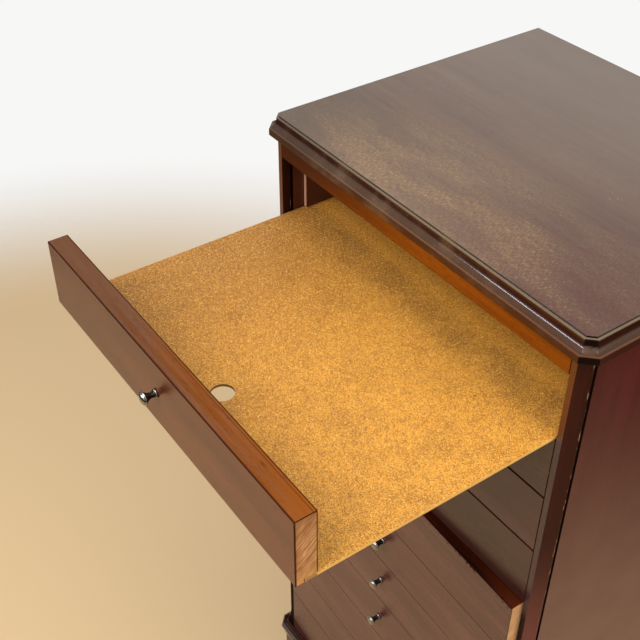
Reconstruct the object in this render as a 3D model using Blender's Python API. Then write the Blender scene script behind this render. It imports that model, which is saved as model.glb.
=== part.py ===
"""Sheet music cabinet: a moulded case with three flat sliding trays above a cupboard with one hinged door.

Lengths are in metres, +Z is up and the front faces -Y. The origin is on the floor, under the middle of the
cabinet as it stands with its first tray drawn out and its door ajar.
"""

import math

import bmesh
import bpy

# Fits
SEAT = 0.0003  # glue line between two fixed pieces
FRONT_GAP = 0.0010  # each side of a tray front
TRAY_GAP = 0.0015  # above and below a tray front
DOOR_SIDE_GAP = 0.0012
DOOR_END_GAP = 0.0015
GROOVE_PLAY = 0.0005  # above a tray board in its groove

# Tray fronts and boards
TRAY_COUNT = 3
FRONT_W = 0.4060
FRONT_H = 0.0703
FRONT_T = 0.0200
FRONT_EASE = 0.0006
BOARD_T = 0.0032
BOARD_L = 0.3400
BOARD_REBATE = 0.0120
FINGER_HOLE_D = 0.0220
FINGER_HOLE_BACK = 0.0410
FIRST_TRAY_OPEN = 0.2585

# Door that imitates a stack of drawers
DOOR_H = 0.5020
DOOR_T = 0.0200
DOOR_AJAR = math.radians(2.0)
FALSE_DRAWERS = 7
SCRIBE_W = 0.0010
SCRIBE_D = 0.0007

# Turned knobs
KNOB_HEAD_R = 0.0068
KNOB_NECK_R = 0.0026
KNOB_FLANGE_R = 0.0044
KNOB_FLANGE_T = 0.0012
KNOB_NECK_L = 0.0090
KNOB_RIM_T = 0.0012
KNOB_DOME = 0.0030
KNOB_SPIGOT_R = 0.0019
KNOB_SPIGOT_L = 0.0110
KNOB_SIDES = 16

# Case
CASE_D = 0.3640
STILE_W = 0.0150
STILE_D = 0.0120
CANT = 0.0090
CANT_STOP_H = 0.0380
CANT_STOP_END = 0.0002
CANT_STOP_STEPS = 8
QUIRK = 0.0008
RAIL_T = 0.0180
TOP_RAIL_H = 0.0227
MIDDLE_RAIL_H = 0.0750
BACK_T = 0.0060
BACK_REBATE = 0.0070
BOTTOM_T = 0.0160
BOTTOM_SHOWN = 0.0150
DIVIDER_T = 0.0120
RUNNER_T = 0.0047
RUNNER_FRONT = 0.0270
SHELF_COUNT = 2
SHELF_T = 0.0120
SHELF_FRONT = 0.0320
CLEAT = 0.0140

# Top board and its moulded edge
TOP_T = 0.0208
TOP_OUT = 0.0075
TOP_BACK_OUT = 0.0040
TOP_CLIP = 0.0072
TOP_SET_IN = 0.0021
TOP_STEP = 0.0015
TOP_FILLET = 0.0023
TOP_FILLET_DROP = 0.0010
TOP_FASCIA = 0.0074
TOP_EASE = 0.0005
COVE_STEPS = 8

# Base moulding and bracket plinth
BASE_H = 0.0300
BASE_OUT = 0.0125
BASE_CLIP = 0.0130
BASE_FILLET = 0.0025
BASE_HOLLOW_W = 0.0055
BASE_HOLLOW_D = 0.0045
BASE_NOSE_H = 0.0040  # from the nose's crest down to where it stands out most
BASE_NOSE_TURN = 30.0  # degrees that the nose turns under before the splay
BASE_FOOT_OUT = 0.0052
PLINTH_H = 0.0600
PLINTH_T = 0.0180
PLINTH_OUT = 0.0048
PLINTH_CLIP = 0.0056
FOOT_W = 0.0560
ARCH_H = 0.0340
ARCH_RUN = 0.0420
ARCH_STEPS = 8

# Butt hinges, catch and strike plate
HINGE_INSET = 0.1100  # from a door end to the nearest end of its hinge
LEAF_H = 0.0600
LEAF_W = 0.0170
LEAF_T = 0.0009
LEAF_GAP = 0.0004
KNUCKLE_R = 0.0026
KNUCKLE_PLAY = 0.0003
PIN_R = 0.0011
PIN_PLAY = 0.0002
PIN_HEAD_R = 0.0022
PIN_HEAD_T = 0.0010
HINGE_SIDES = 16
CATCH_W = 0.0140
CATCH_L = 0.0440
CATCH_T = 0.0220
CATCH_DROP = 0.0500  # from the door's top to the middle of the catch
STRIKE_T = 0.0012
STRIKE_MARGIN = 0.0030
CATCH_GAP = 0.0006

# Places that follow from the sizes
HALF_OPEN = FRONT_W / 2 + FRONT_GAP
HALF_CASE = HALF_OPEN + STILE_W
PANEL_FRONT = STILE_D + SEAT
INNER_BACK = CASE_D - BACK_T - SEAT
KNOB_OUT = SEAT + KNOB_FLANGE_T + KNOB_NECK_L + KNOB_RIM_T + KNOB_DOME
FRONT_PLANE = (FIRST_TRAY_OPEN + KNOB_OUT - CASE_D - TOP_BACK_OUT) / 2
CASE_BOTTOM = PLINTH_H + SEAT
BOTTOM_TOP = CASE_BOTTOM + BASE_H + BOTTOM_SHOWN
DOOR_BOTTOM = BOTTOM_TOP + DOOR_END_GAP
MIDDLE_RAIL_BOTTOM = DOOR_BOTTOM + DOOR_H + DOOR_END_GAP
BAY_BOTTOM = MIDDLE_RAIL_BOTTOM + MIDDLE_RAIL_H
TRAY_PITCH = FRONT_H + TRAY_GAP
BAY_TOP = BAY_BOTTOM + TRAY_COUNT * TRAY_PITCH + TRAY_GAP
CASE_TOP = BAY_TOP + TOP_RAIL_H
TOP_BOTTOM = CASE_TOP + SEAT
DIVIDER_TOP = BAY_BOTTOM + TRAY_GAP - SEAT
DIVIDER_BOTTOM = DIVIDER_TOP - DIVIDER_T
HINGE_X = -HALF_OPEN + SEAT + LEAF_T + LEAF_GAP / 2
HINGE_Y = -KNUCKLE_R
GAIN_X = HINGE_X + LEAF_GAP / 2 + LEAF_T + SEAT
SCREW_HOLE_R = KNOB_SPIGOT_R + SEAT
CUT_MARGIN = 0.0020  # how far a cutter runs past the face that it opens


def tray_bottom(number):
    """Height of a tray's underside, the first tray being the highest."""
    return BAY_BOTTOM + TRAY_GAP + (TRAY_COUNT - number) * TRAY_PITCH


def linear(hex_colour):
    """Scene-linear colour from an sRGB hex code."""
    channels = [int(hex_colour[i : i + 2], 16) / 255 for i in (0, 2, 4)]
    return [c / 12.92 if c <= 0.04045 else ((c + 0.055) / 1.055) ** 2.4 for c in channels] + [1.0]


def finish(name, hex_colour, roughness, metallic=0.0):
    """A Principled material."""
    material = bpy.data.materials.new(name)
    material.use_nodes = True
    shader = material.node_tree.nodes["Principled BSDF"]
    shader.inputs["Base Color"].default_value = linear(hex_colour)
    shader.inputs["Roughness"].default_value = roughness
    shader.inputs["Metallic"].default_value = metallic
    return material


def empty(name, location, parent=None):
    """A joint's frame, or the case's."""
    frame = bpy.data.objects.new(name, None)
    frame.location = location
    frame.parent = parent
    bpy.context.collection.objects.link(frame)
    return frame


def piece(name, bm, material, parent, location=(0.0, 0.0, 0.0), smooth=False):
    """Turn a bmesh into a named object."""
    bmesh.ops.recalc_face_normals(bm, faces=bm.faces)
    mesh = bpy.data.meshes.new(name)
    bm.to_mesh(mesh)
    bm.free()
    mesh.materials.append(material)
    if smooth:
        mesh.shade_smooth()
        mesh.set_sharp_from_angle(angle=math.radians(35))
    thing = bpy.data.objects.new(name, mesh)
    thing.parent = parent
    thing.location = location
    bpy.context.collection.objects.link(thing)
    return thing


def loft(rings):
    """A solid through rings of points, each with as many points, closed by a flat face at both ends."""
    bm = bmesh.new()
    loops = [[bm.verts.new(point) for point in ring] for ring in rings]
    count = len(loops[0])
    for low, high in zip(loops, loops[1:]):
        for i in range(count):
            j = (i + 1) % count
            bm.faces.new((low[i], low[j], high[j], high[i]))
    bm.faces.new(loops[0])
    bm.faces.new(loops[-1])
    return bm


def prism(outline, axis, low, high):
    """A solid made by drawing a flat outline along X, Y or Z."""
    place = {
        "X": lambda u, v, d: (d, u, v),
        "Y": lambda u, v, d: (u, d, v),
        "Z": lambda u, v, d: (u, v, d),
    }[axis]
    return loft([[place(u, v, depth) for u, v in outline] for depth in (low, high)])


def block(x, y, z):
    """A plain board between pairs of limits."""
    return prism([(x[0], y[0]), (x[1], y[0]), (x[1], y[1]), (x[0], y[1])], "Z", z[0], z[1])


def rod(axis, centre, radius, low, high, sides):
    """A round bar along an axis, from its two other coordinates."""
    turns = [2 * math.pi * (i + 0.5) / sides for i in range(sides)]
    outline = [(centre[0] + radius * math.cos(a), centre[1] + radius * math.sin(a)) for a in turns]
    return prism(outline, axis, low, high)


def turned(profile, sides):
    """A turned solid about the Y axis, from (radius, distance towards the viewer) with both ends on the axis."""
    bm = bmesh.new()
    points = [bm.verts.new((radius, -out, 0.0)) for radius, out in profile]
    edges = [bm.edges.new(pair) for pair in zip(points, points[1:])]
    bmesh.ops.spin(
        bm, geom=points + edges, cent=(0, 0, 0), axis=(0, 1, 0), angle=2 * math.pi, steps=sides, use_merge=True
    )
    bmesh.ops.remove_doubles(bm, verts=bm.verts, dist=1e-6)
    return bm


def shape_with(thing, tool_bm, operation):
    """Cut a hidden tool out of a piece, or join it on."""
    tool = piece(f"{thing.name}_{operation.lower()}", tool_bm, thing.data.materials[0], thing)
    tool.hide_render = True
    tool.display_type = "WIRE"
    step = thing.modifiers.new(tool.name, "BOOLEAN")
    step.operation = operation
    step.object = tool


def arc(centre, radii, start, end, steps):
    """Points along a part of an ellipse, with angles in degrees."""
    angles = [math.radians(start + (end - start) * i / steps) for i in range(steps + 1)]
    return [(centre[0] + radii[0] * math.cos(a), centre[1] + radii[1] * math.sin(a)) for a in angles]


def plan_outline(out, clip, back):
    """The case's plan grown outwards, from back left round the clipped front corners to back right."""
    half = HALF_CASE + out
    left = [(-half, back), (-half, clip - out), (-half + clip, -out)]
    return left + [(-x, y) for x, y in reversed(left)]


def top_board(case, wood):
    """Flat top whose edge steps down to a fillet, sweeps out in a cove and ends in an upright fascia."""
    fillet_out = -TOP_SET_IN + TOP_FILLET
    cove_top = TOP_T - TOP_STEP - TOP_FILLET_DROP
    cove = arc(
        (TOP_OUT, cove_top), (TOP_OUT - fillet_out, cove_top - TOP_FASCIA), 180, 270, COVE_STEPS
    )
    edge = [(-TOP_SET_IN, TOP_T), (-TOP_SET_IN, TOP_T - TOP_STEP), (fillet_out, TOP_T - TOP_STEP)]
    edge += cove + [(TOP_OUT, TOP_EASE), (TOP_OUT - TOP_EASE, 0.0)]
    spread = 2 - math.sqrt(2)
    rings = []
    for out, height in edge:
        outline = plan_outline(out, TOP_CLIP + spread * out, CASE_D + TOP_BACK_OUT)
        rings.append([(x, y, TOP_BOTTOM + height) for x, y in outline])
    piece("top_board", loft(rings), wood, case, smooth=True)


def front_stile(side, name, case, wood):
    """Corner upright with a canted face that runs out in a curved stop above the base."""
    stop_low = CASE_BOTTOM + BASE_H
    heights = [(CASE_BOTTOM, CANT_STOP_END), (stop_low, CANT_STOP_END)]
    for i in range(1, CANT_STOP_STEPS + 1):
        t = i / CANT_STOP_STEPS
        swell = (1 - math.cos(math.pi * t)) / 2
        heights.append((stop_low + t * CANT_STOP_H, CANT_STOP_END + swell * (CANT - CANT_STOP_END)))
    heights.append((CASE_TOP, CANT))
    rings = []
    for z, cant in heights:
        plan = [
            (HALF_OPEN, 0.0),
            (HALF_CASE - cant, 0.0),
            (HALF_CASE, cant),
            (HALF_CASE, STILE_D - QUIRK),
            (HALF_CASE - QUIRK, STILE_D),
            (HALF_OPEN, STILE_D),
        ]
        rings.append([(side * x, y, z) for x, y in plan])
    piece(name, loft(rings), wood, case, smooth=True)


def side_panel(side, name, case, wood):
    """Board with an eased front arris and a rebate for the back panel."""
    plan = [
        (HALF_OPEN, PANEL_FRONT),
        (HALF_CASE - QUIRK, PANEL_FRONT),
        (HALF_CASE, PANEL_FRONT + QUIRK),
        (HALF_CASE, CASE_D),
        (HALF_OPEN + BACK_REBATE, CASE_D),
        (HALF_OPEN + BACK_REBATE, INNER_BACK),
        (HALF_OPEN, INNER_BACK),
    ]
    piece(name, prism([(side * x, y) for x, y in plan], "Z", CASE_BOTTOM, CASE_TOP), wood, case)


def carcass(case, wood, inner):
    """Rails, boards and back panel between the sides."""
    width = (-HALF_OPEN + SEAT, HALF_OPEN - SEAT)
    behind_rail = RAIL_T + SEAT
    piece("top_rail", block(width, (0.0, RAIL_T), (BAY_TOP, CASE_TOP)), wood, case)
    piece("middle_rail", block(width, (0.0, RAIL_T), (MIDDLE_RAIL_BOTTOM, BAY_BOTTOM)), wood, case)
    piece("bottom_board", block(width, (0.0, INNER_BACK), (BOTTOM_TOP - BOTTOM_T, BOTTOM_TOP)), wood, case)
    piece("divider_board", block(width, (behind_rail, INNER_BACK), (DIVIDER_BOTTOM, DIVIDER_TOP)), inner, case)
    back_half = HALF_OPEN + BACK_REBATE - SEAT
    back = block((-back_half, back_half), (CASE_D - BACK_T, CASE_D), (CASE_BOTTOM, CASE_TOP))
    piece("back_panel", back, inner, case)


def runners(side, name, case, inner):
    """Strips on the inside of a case side, with the trays' grooves left between them."""
    x = (side * (HALF_OPEN - SEAT), side * (HALF_OPEN - SEAT - RUNNER_T))
    top = CASE_TOP
    for number in range(1, TRAY_COUNT + 1):
        bottom = tray_bottom(number) + BOARD_T + GROOVE_PLAY
        strip = block(x, (RUNNER_FRONT, INNER_BACK - SEAT), (bottom, top))
        piece(f"{name}_{number}", strip, inner, case)
        top = tray_bottom(number) - SEAT


def shelves(case, inner):
    """Shelves on cleats that share the cupboard's height equally."""
    room = DIVIDER_BOTTOM - BOTTOM_TOP
    for number in range(1, SHELF_COUNT + 1):
        top = DIVIDER_BOTTOM - room * number / (SHELF_COUNT + 1)
        low = top - SHELF_T
        shelf = block((-HALF_OPEN + SEAT, HALF_OPEN - SEAT), (SHELF_FRONT, INNER_BACK - SEAT), (low, top))
        piece(f"shelf_{number}", shelf, inner, case)
        for side, word in ((-1, "left"), (1, "right")):
            x = (side * (HALF_OPEN - SEAT), side * (HALF_OPEN - SEAT - CLEAT))
            cleat = block(x, (SHELF_FRONT, INNER_BACK - SEAT), (low - SEAT - CLEAT, low - SEAT))
            piece(f"shelf_cleat_{word}_{number}", cleat, inner, case)


def base_moulding(case, wood):
    """Moulding round the foot of the case: a front with clipped corners and two straight returns."""
    top = CASE_BOTTOM + BASE_H
    crest = BASE_FILLET + BASE_HOLLOW_W
    hollow = arc((BASE_FILLET + BASE_HOLLOW_W / 2, top), (BASE_HOLLOW_W / 2, BASE_HOLLOW_D), 180, 360, COVE_STEPS)
    nose = arc((crest, top - BASE_NOSE_H), (BASE_OUT - crest, BASE_NOSE_H), 90, -BASE_NOSE_TURN, COVE_STEPS)
    profile = [(SEAT, CASE_BOTTOM), (SEAT, top)] + hollow + nose[1:] + [(BASE_FOOT_OUT, CASE_BOTTOM)]
    outlines = [plan_outline(out, BASE_CLIP * out / BASE_OUT, CASE_D) for out, _ in profile]
    corners = len(outlines[0])
    sections = []
    for k in range(corners):
        sections.append([(*outline[k], z) for outline, (_, z) in zip(outlines, profile)])
    piece("base_moulding_front", loft(sections[1:-1]), wood, case, smooth=True)
    for name, end, mitre in (("left", 0, 1), ("right", -1, -2)):
        butt = [(x, y + SEAT, z) for x, y, z in sections[mitre]]
        piece(f"base_moulding_{name}", loft([butt, sections[end]]), wood, case, smooth=True)


def arch(low, high):
    """Outline of the gap between two bracket feet, from the floor up to the apron."""
    left = [(low, -CUT_MARGIN)] + arc((low + ARCH_RUN, 0.0), (ARCH_RUN, ARCH_H), 180, 90, ARCH_STEPS)
    right = arc((high - ARCH_RUN, 0.0), (ARCH_RUN, ARCH_H), 90, 0, ARCH_STEPS) + [(high, -CUT_MARGIN)]
    return left + right


def plinth(case, wood):
    """Bracket plinth: a front with clipped corners, two sides with an arch each and a plain back."""
    half = HALF_CASE + PLINTH_OUT
    inner = PLINTH_T - PLINTH_OUT
    front_plan = plan_outline(PLINTH_OUT, PLINTH_CLIP, inner)
    front = piece("plinth_front", prism(front_plan, "Z", 0.0, PLINTH_H), wood, case)
    gap = arch(-half + FOOT_W, half - FOOT_W)
    shape_with(front, prism(gap, "Y", -PLINTH_OUT - CUT_MARGIN, inner + CUT_MARGIN), "DIFFERENCE")
    for side, word in ((-1, "left"), (1, "right")):
        x = (side * (half - PLINTH_T), side * half)
        board = piece(f"plinth_{word}", block(x, (inner + SEAT, CASE_D), (0.0, PLINTH_H)), wood, case)
        gap = arch(FOOT_W - PLINTH_OUT, CASE_D - FOOT_W)
        limits = sorted((side * (half - PLINTH_T - CUT_MARGIN), side * (half + CUT_MARGIN)))
        shape_with(board, prism(gap, "X", *limits), "DIFFERENCE")
    back_half = half - PLINTH_T - SEAT
    back = block((-back_half, back_half), (CASE_D - PLINTH_T, CASE_D), (0.0, PLINTH_H))
    piece("plinth_back", back, wood, case)


def knob_mesh(metal):
    """Turned knob: a spigot, a small flange, a waisted neck and a domed head."""
    flange_out = SEAT + KNOB_FLANGE_T
    head_out = flange_out + KNOB_NECK_L
    rim_out = head_out + KNOB_RIM_T
    profile = [
        (0.0, -KNOB_SPIGOT_L),
        (KNOB_SPIGOT_R, -KNOB_SPIGOT_L),
        (KNOB_SPIGOT_R, SEAT),
        (KNOB_FLANGE_R, SEAT),
        (KNOB_FLANGE_R, flange_out),
    ]
    flare = KNOB_HEAD_R - KNOB_NECK_R
    profile += arc((KNOB_HEAD_R, flange_out), (flare, KNOB_NECK_L), 180, 90, 4)
    profile += arc((0.0, rim_out), (KNOB_HEAD_R, KNOB_DOME), 0, 90, 4)[:-1]
    profile.append((0.0, rim_out + KNOB_DOME))
    model = piece("knob", turned(profile, KNOB_SIDES), metal, None, smooth=True)
    mesh = model.data
    bpy.data.objects.remove(model)
    return mesh


def add_knob(name, mesh, board, parent, height):
    """Set a knob on the middle of a board's face, with its spigot in a drilled hole."""
    knob = bpy.data.objects.new(name, mesh)
    knob.parent = parent
    knob.location = (board.location.x, 0.0, height)
    bpy.context.collection.objects.link(knob)
    hole = rod("Y", (0.0, height - board.location.z), SCREW_HOLE_R, -CUT_MARGIN, KNOB_SPIGOT_L + SEAT, KNOB_SIDES)
    shape_with(board, hole, "DIFFERENCE")


def tray(number, case, wood, hardboard, knob):
    """Front with a rebate along its foot, and a sheet of hardboard that seats in it and slides in the grooves."""
    travel = FIRST_TRAY_OPEN if number == 1 else 0.0
    slide = empty(f"tray_{number}_slide", (0.0, -travel, tray_bottom(number)), case)
    seat_back = FRONT_T - BOARD_REBATE
    section = [
        (FRONT_EASE, 0.0),
        (0.0, FRONT_EASE),
        (0.0, FRONT_H - FRONT_EASE),
        (FRONT_EASE, FRONT_H),
        (FRONT_T - FRONT_EASE, FRONT_H),
        (FRONT_T, FRONT_H - FRONT_EASE),
        (FRONT_T, BOARD_T + SEAT),
        (seat_back, BOARD_T + SEAT),
        (seat_back, 0.0),
    ]
    front = piece(f"tray_front_{number}", prism(section, "X", -FRONT_W / 2, FRONT_W / 2), wood, slide)
    add_knob(f"tray_knob_{number}", knob, front, slide, FRONT_H / 2)
    sheet = block((-FRONT_W / 2, FRONT_W / 2), (seat_back + SEAT, BOARD_L), (0.0, BOARD_T))
    board = piece(f"tray_board_{number}", sheet, hardboard, slide)
    centre = (0.0, FRONT_T + FINGER_HOLE_BACK)
    hole = rod("Z", centre, FINGER_HOLE_D / 2, -CUT_MARGIN, BOARD_T + CUT_MARGIN, 2 * KNOB_SIDES)
    shape_with(board, hole, "DIFFERENCE")


def door_panel(pivot, wood, knob):
    """Door whose scribed lines and knobs imitate a stack of drawers, with gains for its hinges."""
    left = -HALF_OPEN + DOOR_SIDE_GAP - HINGE_X
    right = HALF_OPEN - DOOR_SIDE_GAP - HINGE_X
    section = [(DOOR_T, 0.0), (FRONT_EASE, 0.0), (0.0, FRONT_EASE)]
    cell = DOOR_H / FALSE_DRAWERS
    for line in range(1, FALSE_DRAWERS):
        z = line * cell
        section += [(0.0, z - SCRIBE_W / 2), (SCRIBE_D, z), (0.0, z + SCRIBE_W / 2)]
    section += [(0.0, DOOR_H - FRONT_EASE), (FRONT_EASE, DOOR_H), (DOOR_T, DOOR_H)]
    middle = (left + right) / 2
    half = (right - left) / 2
    door = piece("door_panel", prism(section, "X", -half, half), wood, pivot, (middle, -HINGE_Y, 0.0))
    gain_depth = GAIN_X - HINGE_X - left
    for low in hinge_bottoms():
        z = (low - SEAT, low + LEAF_H + SEAT)
        gain = block((-half - CUT_MARGIN, -half + gain_depth), (-CUT_MARGIN, LEAF_W + SEAT), z)
        shape_with(door, gain, "DIFFERENCE")
    holder = empty("door_face", (0.0, -HINGE_Y, 0.0), pivot)
    for number in range(1, FALSE_DRAWERS + 1):
        height = DOOR_H - (number - 0.5) * cell
        add_knob(f"door_knob_{number}", knob, door, holder, height)


def hinge_bottoms():
    """Heights of the hinges' lower ends above the door's lower end: lower hinge first."""
    return HINGE_INSET, DOOR_H - HINGE_INSET - LEAF_H


def hinge_leaf(name, x, zones, brass, parent):
    """A hinge leaf about its pin: a plate with barrels at the given heights."""
    plate = block(x, (-HINGE_Y + SEAT, LEAF_W - HINGE_Y), (0.0, LEAF_H))
    leaf = piece(name, plate, brass, parent)
    for low, high in zones:
        shape_with(leaf, block(x, (0.0, LEAF_W / 2 - HINGE_Y), (low, high)), "UNION")
        shape_with(leaf, rod("Z", (0.0, 0.0), KNUCKLE_R, low, high, HINGE_SIDES), "UNION")
    bore = rod("Z", (0.0, 0.0), PIN_R + PIN_PLAY, -CUT_MARGIN, LEAF_H + CUT_MARGIN, HINGE_SIDES)
    shape_with(leaf, bore, "DIFFERENCE")
    return leaf


def hinges(case, pivot, brass):
    """Two butt hinges, each with a fixed leaf, a moving leaf and a headed pin."""
    third = LEAF_H / 3
    outer = ((0.0, third - KNUCKLE_PLAY), (2 * third + KNUCKLE_PLAY, LEAF_H))
    inner = ((third, 2 * third),)
    near = LEAF_GAP / 2
    for word, low in zip(("lower", "upper"), hinge_bottoms()):
        fixed = empty(f"hinge_axis_{word}", (HINGE_X, HINGE_Y, DOOR_BOTTOM + low), case)
        hinge_leaf(f"hinge_leaf_case_{word}", (-near - LEAF_T, -near), outer, brass, fixed)
        moving = hinge_leaf(f"hinge_leaf_door_{word}", (near, near + LEAF_T), inner, brass, pivot)
        moving.location.z = low
        end = PIN_PLAY + PIN_HEAD_T
        shank = [(0.0, -end), (PIN_HEAD_R, -end), (PIN_HEAD_R, -PIN_PLAY), (PIN_R, -PIN_PLAY)]
        profile = shank + [(radius, LEAF_H - z) for radius, z in reversed(shank)]
        pin = piece(f"hinge_pin_{word}", turned(profile, HINGE_SIDES), brass, fixed, smooth=True)
        pin.rotation_euler = (-math.pi / 2, 0.0, 0.0)


def catch(case, pivot, steel, brown):
    """Catch block on the right side, and its strike plate on the back of the door."""
    right = HALF_OPEN - SEAT
    middle = DOOR_H - CATCH_DROP
    front = DOOR_T + SEAT + STRIKE_T + CATCH_GAP
    low = DOOR_BOTTOM + middle - CATCH_L / 2
    body = block((right - CATCH_W, right), (front, front + CATCH_T), (low, low + CATCH_L))
    piece("catch_block", body, brown, case)
    x = (right - CATCH_W - HINGE_X, right - STRIKE_MARGIN - HINGE_X)
    y = (DOOR_T + SEAT - HINGE_Y, DOOR_T + SEAT + STRIKE_T - HINGE_Y)
    half = CATCH_L / 2 - STRIKE_MARGIN
    piece("strike_plate", block(x, y, (middle - half, middle + half)), steel, pivot)


def build():
    """Clear the scene and make the cabinet."""
    for thing in list(bpy.data.objects):
        bpy.data.objects.remove(thing)
    wood = finish("mahogany stain", "5E3A2C", 0.35)
    inner = finish("plain softwood", "B98F60", 0.6)
    hardboard = finish("hardboard", "B8843C", 0.7)
    pewter = finish("antique pewter", "6F6C66", 0.3, 1.0)
    brass = finish("dull brass", "9A7B45", 0.4, 1.0)
    steel = finish("steel", "8E8E8C", 0.35, 1.0)
    brown = finish("brown plastic", "3B2A20", 0.5)

    case = empty("case", (0.0, FRONT_PLANE, 0.0))
    top_board(case, wood)
    for side, word in ((-1, "left"), (1, "right")):
        front_stile(side, f"front_stile_{word}", case, wood)
        side_panel(side, f"side_panel_{word}", case, wood)
        runners(side, f"runner_{word}", case, inner)
    carcass(case, wood, inner)
    shelves(case, inner)
    base_moulding(case, wood)
    plinth(case, wood)

    knob = knob_mesh(pewter)
    for number in range(1, TRAY_COUNT + 1):
        tray(number, case, wood, hardboard, knob)

    pivot = empty("door_pivot", (HINGE_X, HINGE_Y, DOOR_BOTTOM), case)
    pivot.rotation_euler.z = -DOOR_AJAR
    door_panel(pivot, wood, knob)
    hinges(case, pivot, brass)
    catch(case, pivot, steel, brown)


build()
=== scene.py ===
# %% [markdown]
# # A sheet music cabinet
# This lesson dresses a finished cabinet model: stained and varnished mahogany, golden hardboard trays and
# small pewter knobs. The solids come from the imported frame, in metres, with +Z up and the front facing -Y.
# They are the truth about size and motion, so nothing here moves them: the work is finish, soft edges,
# small fittings, light and a camera.

# %% Load the frame
import math

import bmesh
import bpy
import numpy as np
from mathutils import Matrix, Vector


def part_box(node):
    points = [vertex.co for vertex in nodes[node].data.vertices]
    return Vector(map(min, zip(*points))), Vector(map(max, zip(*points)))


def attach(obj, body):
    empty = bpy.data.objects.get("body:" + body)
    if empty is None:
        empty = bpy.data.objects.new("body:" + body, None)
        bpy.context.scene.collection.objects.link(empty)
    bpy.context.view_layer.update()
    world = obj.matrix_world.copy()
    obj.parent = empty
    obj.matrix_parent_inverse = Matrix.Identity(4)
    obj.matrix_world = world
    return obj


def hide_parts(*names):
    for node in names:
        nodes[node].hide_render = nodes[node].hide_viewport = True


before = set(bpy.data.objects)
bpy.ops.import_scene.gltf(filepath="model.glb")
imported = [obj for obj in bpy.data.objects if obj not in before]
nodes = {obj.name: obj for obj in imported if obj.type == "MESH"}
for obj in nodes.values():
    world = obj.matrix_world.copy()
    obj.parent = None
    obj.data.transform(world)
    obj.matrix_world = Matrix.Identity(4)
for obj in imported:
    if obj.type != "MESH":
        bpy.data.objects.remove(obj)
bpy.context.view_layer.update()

# %% [markdown]
# ## The camera
# A camera is a place, a direction and a focal length. These came from fitting the cabinet's edges to the
# picture: it was taken from the front right, a little above head height for so small a cabinet, looking
# down. The fit gives the focal length in pixels of a 640 pixel frame, and the sensor width turns it into
# millimetres.

# %% Set the camera
PICTURE_PIXELS = 640
FOCAL_PIXELS = 1052.3
SENSOR_MM = 36.0
CAMERA_PLACE = (0.5935, -0.5579, 1.4528)
CAMERA_AZIMUTH = math.radians(54.99)
CAMERA_ELEVATION = math.radians(38.99)

level = math.cos(CAMERA_ELEVATION)
backwards = Vector(
    (math.sin(CAMERA_AZIMUTH) * level, -math.cos(CAMERA_AZIMUTH) * level, math.sin(CAMERA_ELEVATION))
)
lens = bpy.data.cameras.new("Camera")
lens.sensor_width = SENSOR_MM
lens.lens = FOCAL_PIXELS / PICTURE_PIXELS * SENSOR_MM
camera = bpy.data.objects.new("Camera", lens)
camera.location = CAMERA_PLACE
camera.rotation_mode = "QUATERNION"
camera.rotation_quaternion = (-backwards).to_track_quat("-Z", "Y")
bpy.context.scene.collection.objects.link(camera)
bpy.context.scene.camera = camera
bpy.context.scene.view_settings.view_transform = "Standard"
print("lens", round(lens.lens, 1), "mm")

# %% [markdown]
# ## A few small helpers
# Every finish below is a little graph of shader nodes. One helper turns a colour as it is written for a
# screen (sRGB hex) into the linear numbers that a shader works with. Another adds one node, sets its
# properties, and fills or links its inputs, so a whole finish reads from top to bottom like a recipe. Two
# more take up what every recipe repeats: how strongly something shows from place to place, and one tone laid
# over another that strongly.

# %% Colour and node helpers
MIX_FACTOR, MIX_A, MIX_B, MIX_RESULT = 0, 6, 7, 2  # sockets of a colour Mix node


def colour(code):
    """Linear colour with alpha from an sRGB hex code."""
    parts = [int(code[i : i + 2], 16) / 255 for i in (1, 3, 5)]
    return tuple(p / 12.92 if p <= 0.04045 else ((p + 0.055) / 1.055) ** 2.4 for p in parts) + (1.0,)


def add(tree, kind, inputs=None, **settings):
    """Adds one node: settings are its own properties, inputs are values or the sockets to link from."""
    made = tree.nodes.new(kind)
    for name, value in settings.items():
        setattr(made, name, value)
    for name, value in (inputs or {}).items():
        if isinstance(value, bpy.types.NodeSocket):
            tree.links.new(value, made.inputs[name])
        else:
            made.inputs[name].default_value = value
    return made


def blank_material(name):
    """A new material with an empty node tree."""
    material = bpy.data.materials.new(name)
    material.use_nodes = True
    material.node_tree.nodes.clear()
    return material, material.node_tree


def graded(tree, *steps):
    """How strongly something shows where all steps hold at once.

    A step is a strength made before, or (value, low, high) for a soft rise from 0 to 1 while the value goes
    from low to high, or (value, low, high, first, last) for a soft change from first to last.
    """
    strength = None
    for step in steps:
        if isinstance(step, tuple):
            value, low, high, *ends = step
            first, last = ends or (0.0, 1.0)
            span = {"Value": value, 1: low, 2: high, 3: first, 4: last}
            step = add(tree, "ShaderNodeMapRange", span, interpolation_type="SMOOTHSTEP").outputs[0]
        if strength is None:
            strength = step
        else:
            strength = add(tree, "ShaderNodeMath", {0: strength, 1: step}, operation="MULTIPLY").outputs[0]
    return strength


def toned(tree, below, over, *steps):
    """One tone laid over another as strongly as the steps say. A tone is a hex code or a socket."""
    below, over = (colour(tone) if isinstance(tone, str) else tone for tone in (below, over))
    layers = {MIX_FACTOR: graded(tree, *steps), MIX_A: below, MIX_B: over}
    return add(tree, "ShaderNodeMix", layers, data_type="RGBA").outputs[MIX_RESULT]


print("mahogany red as linear colour", [round(c, 3) for c in colour("#5c2f1c")])

# %% [markdown]
# ## The floor
# The cabinet stands on a plain pale floor, which also shows in its varnish: a satin front seen at a slant
# mirrors the floor before it, and that is what turns its red brown greyish. The floor is a large disc that
# fades out softly, so no edge cuts through any view.

# %% Make the floor
FLOOR_CENTRE = (-0.28, -0.43)
FLOOR_SOLID, FLOOR_FADED = 1.05, 1.75  # metres from its centre
FLOOR_SIDES = 96

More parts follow.
